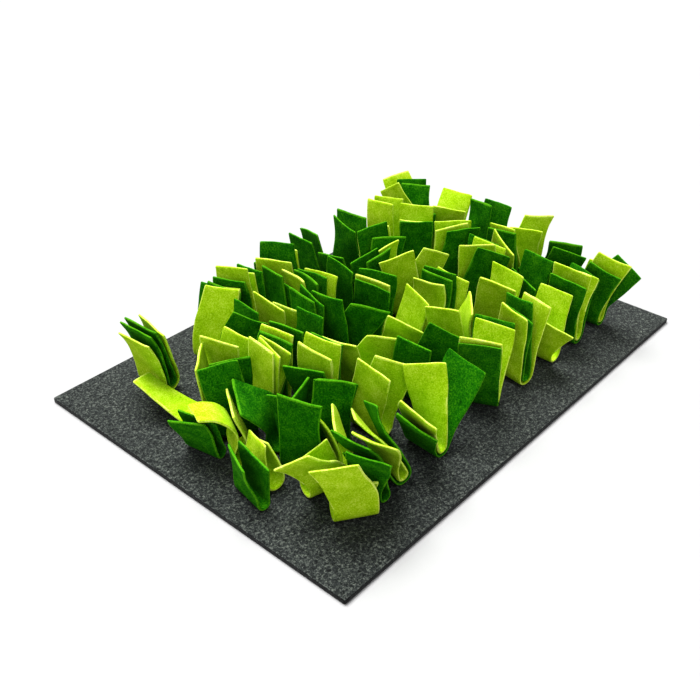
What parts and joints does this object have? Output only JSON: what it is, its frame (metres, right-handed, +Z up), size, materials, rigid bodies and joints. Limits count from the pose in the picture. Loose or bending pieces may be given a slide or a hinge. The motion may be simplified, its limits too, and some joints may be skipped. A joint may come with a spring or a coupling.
{
  "type": "snuffle mat",
  "caption": "Flat felt mat with rows of folded felt strips sewn upright on it, whose folds hide dry treats for a pet to sniff out.",
  "frame": {"origin": "centre of the base's underside, on the floor", "axes": "+X along the long side of the base, +Y along its short side, +Z up out of the floor"},
  "size_m": [0.42, 0.3, 0.0784],
  "materials": {
    "felt_base": "matt marled charcoal felt",
    "felt_lime": "matt lime green felt",
    "felt_dark": "matt dark green felt"
  },
  "bodies": {
    "root": {"base": "felt_base", "strip_a1": "felt_dark", "strip_a1_in": "felt_lime", "strip_a2": "felt_dark", "strip_a2_in": "felt_lime", "strip_a3": "felt_dark", "strip_a3_in": "felt_lime", "strip_a4": "felt_lime", "strip_a4_in": "felt_dark", "strip_a5": "felt_lime", "strip_a6": "felt_dark", "strip_a6_in": "felt_lime", "strip_a7": "felt_dark", "strip_a7_in": "felt_lime", "strip_b1": "felt_lime", "strip_b2": "felt_dark", "strip_b3": "felt_lime", "strip_b4": "felt_lime", "strip_b5": "felt_dark", "strip_b6": "felt_dark", "strip_c1": "felt_dark", "strip_c2": "felt_lime", "strip_c3": "felt_lime", "strip_c5": "felt_dark", "strip_c6": "felt_lime", "strip_c7": "felt_lime", "strip_d1": "felt_lime", "strip_d2": "felt_dark", "strip_d3": "felt_dark", "strip_d4": "felt_dark", "strip_d5": "felt_lime", "strip_d6": "felt_dark", "strip_d7": "felt_dark", "strip_e1": "felt_dark", "strip_e2": "felt_lime", "strip_e4": "felt_dark", "strip_e5": "felt_lime", "strip_e6": "felt_dark", "strip_e7": "felt_lime", "strip_f2": "felt_lime", "strip_f2_in": "felt_dark", "strip_f3": "felt_dark", "strip_f3_in": "felt_lime", "strip_f4": "felt_lime", "strip_f5": "felt_dark", "strip_f6": "felt_dark", "strip_f7": "felt_lime", "strip_f8": "felt_lime", "strip_m1": "felt_dark", "strip_n1": "felt_dark", "strip_n2": "felt_lime", "strip_z1": "felt_lime", "strip_z2": "felt_lime", "strip_z3": "felt_lime", "strip_z3b": "felt_lime", "strip_z4": "felt_dark", "strip_z5": "felt_lime", "strip_z5b": "felt_lime", "strip_z6": "felt_lime", "strip_z6_in": "felt_dark"}
  },
  "joints": []
}
